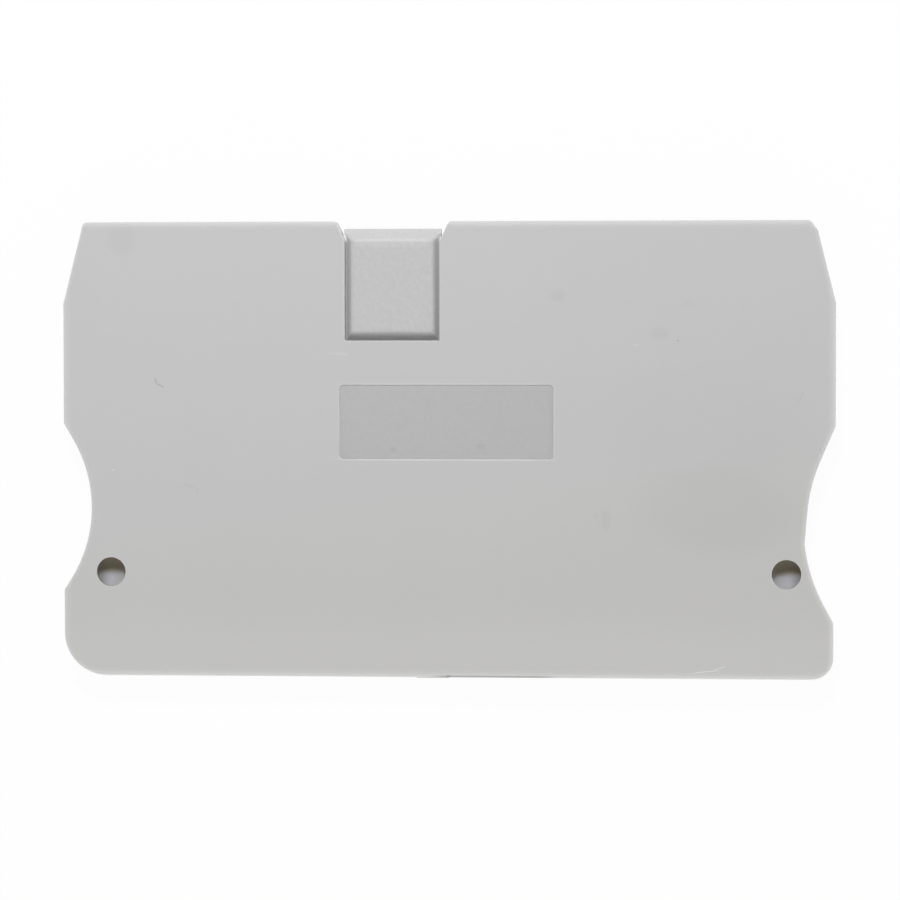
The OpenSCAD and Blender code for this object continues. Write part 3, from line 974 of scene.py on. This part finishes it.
    # The sockets carry painted shade in their upper half and along their walls, and painted light below
    in_socket, socket_shading = socket_colour(nodes, x, y, settings)
    in_socket = nodes.times(in_socket, nodes.between(depth, *SOCKET_DEPTH), front)
    sheen = nodes.noise(place, *SHEEN_NOISE)
    rough = nodes.math("MULTIPLY_ADD", sheen, SHEEN_ROUGHNESS, finish.roughness)
    height = nodes.math("MULTIPLY_ADD", coarse, COARSE_RELIEF, grain)
    relief = {"Strength": RELIEF_STRENGTH, "Distance": RELIEF_HEIGHT, "Height": height}
    surface = {
        "Base Color": nodes.blend(in_socket, plain, socket_shading),
        "Roughness": nodes.math("MULTIPLY_ADD", in_field, FIELD_ROUGHNESS, rough),
        "Normal": nodes.add("ShaderNodeBump", relief).outputs[0],
        "IOR": REFRACTION,
        "Specular IOR Level": SPECULAR,
    }
    shader = nodes.add("ShaderNodeBsdfPrincipled", surface)
    nodes.add("ShaderNodeOutputMaterial", {"Surface": shader.outputs[0]})
    return material


def background_rays(nodes):
    """One for the rays that show the background: from the camera, in gloss and through glass."""
    path = nodes.add("ShaderNodeLightPath").outputs
    seen = nodes.math("MAXIMUM", path["Is Camera Ray"], path["Is Glossy Ray"])
    return nodes.math("MAXIMUM", seen, path["Is Transmission Ray"])


def floor_mesh(stage):
    """The floor just below the tips of the pegs, mostly plain white where it is seen."""
    corners = SQUARE * stage.floor_size / 2
    mesh = bpy.data.meshes.new("floor")
    mesh.from_pydata(np.column_stack([corners, np.full(4, -FLOOR_GAP)]), [], [[0, 1, 2, 3]])
    material = bpy.data.materials.new("pale_floor")
    nodes = Nodes(material)
    lit = nodes.add("ShaderNodeBsdfDiffuse", {"Color": (*stage.floor_colour, 1.0)})
    white = nodes.add("ShaderNodeEmission", {"Strength": 1.0})
    share = nodes.times(background_rays(nodes), stage.floor_white)
    mixed = nodes.add("ShaderNodeMixShader", {0: share, 1: lit.outputs[0], 2: white.outputs[0]})
    nodes.add("ShaderNodeOutputMaterial", {"Surface": mixed.outputs[0]})
    mesh.materials.append(material)
    return mesh


def studio_world(stage):
    """A world that is white where it is seen, and lights the cover from all round.

    With u the upward part of the direction d, and l the lean, the strength of its light is
    sky + horizon (1 - |u|)^power (1 + l.d).
    """
    world = bpy.data.worlds.new("studio")
    nodes = Nodes(world)
    way = nodes.add("ShaderNodeTexCoord").outputs["Generated"]
    up = nodes.math("ABSOLUTE", nodes.split(way)[2])
    low = nodes.math("POWER", nodes.math("SUBTRACT", 1.0, up), HORIZON_POWER)
    lean = nodes.add("ShaderNodeVectorMath", {0: way, 1: stage.horizon_lean}, operation="DOT_PRODUCT")
    low = nodes.math("MULTIPLY_ADD", low, lean.outputs["Value"], low)
    strength = nodes.math("MULTIPLY_ADD", low, stage.horizon, stage.sky)
    sky = nodes.add("ShaderNodeBackground", {"Strength": strength})
    white = nodes.add("ShaderNodeBackground", {"Strength": 1.0})
    share = background_rays(nodes)
    mixed = nodes.add("ShaderNodeMixShader", {0: share, 1: sky.outputs[0], 2: white.outputs[0]})
    nodes.add("ShaderNodeOutputWorld", {"Surface": mixed.outputs[0]})
    return world


def put(name, data):
    """A new object of that name in the scene."""
    made = bpy.data.objects.new(name, data)
    bpy.context.scene.collection.objects.link(made)
    return made


class COVER_OT_build_cover(bpy.types.Operator):
    """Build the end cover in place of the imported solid"""

    bl_idname = "end_cover.build_cover"
    bl_label = "Build End Cover"

    def execute(self, context):
        settings = context.scene.end_cover
        mesh = cover_mesh(settings)
        mesh.materials.append(plastic_material(settings))
        cover = put("moulded_cover", mesh)
        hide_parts(NODE)
        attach(cover, BODY)
        return {"FINISHED"}


class COVER_OT_build_stage(bpy.types.Operator):
    """Build the floor, the light and the camera"""

    bl_idname = "end_cover.build_stage"
    bl_label = "Build Stage"

    def execute(self, context):
        stage = context.scene.end_cover.stage
        scene = context.scene
        scene.view_settings.view_transform = "Standard"

        mesh = floor_mesh(stage)
        put("floor", mesh)
        scene.world = studio_world(stage)

        lamp = bpy.data.lights.new("key", "AREA")
        lamp.shape = "RECTANGLE"
        lamp.size, lamp.size_y = stage.key_size
        lamp.energy = stage.key_power
        lamp_object = put("key", lamp)
        lamp_object.location = stage.key_place
        lamp_object.rotation_euler = (-Vector(stage.key_place)).to_track_quat("-Z", "Y").to_euler()

        camera = bpy.data.cameras.new("camera")
        camera.sensor_width = SENSOR_MM
        camera.lens = stage.lens
        camera.clip_start, camera.clip_end = CAMERA_CLIP
        camera_object = put("camera", camera)
        camera_object.location = stage.camera_place
        camera_object.rotation_euler = stage.camera_turn
        scene.camera = camera_object
        return {"FINISHED"}


class COVER_PT_panel(bpy.types.Panel):
    """Sizes, colours and light of the end cover"""

    bl_idname = "COVER_PT_panel"
    bl_label = "End Cover"
    bl_space_type = "VIEW_3D"
    bl_region_type = "UI"
    bl_category = "End Cover"

    def draw(self, context):
        settings = context.scene.end_cover
        for part in settings.__annotations__:
            group = getattr(settings, part)
            box = self.layout.box()
            for name in group.__annotations__:
                box.prop(group, name)
        self.layout.operator(COVER_OT_build_cover.bl_idname)
        self.layout.operator(COVER_OT_build_stage.bl_idname)


CLASSES = (
    PlateSizes,
    HollowSizes,
    TabSizes,
    DetailSizes,
    FinishSettings,
    StageSettings,
    CoverSettings,
    COVER_OT_build_cover,
    COVER_OT_build_stage,
    COVER_PT_panel,
)


def register():
    for item in CLASSES:
        bpy.utils.register_class(item)
    bpy.types.Scene.end_cover = PointerProperty(type=CoverSettings)


def unregister():
    del bpy.types.Scene.end_cover
    for item in reversed(CLASSES):
        bpy.utils.unregister_class(item)


def main():
    """Registers the classes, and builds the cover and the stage."""
    register()
    bpy.ops.end_cover.build_cover()
    bpy.ops.end_cover.build_stage()


if __name__ == "__main__":
    main()
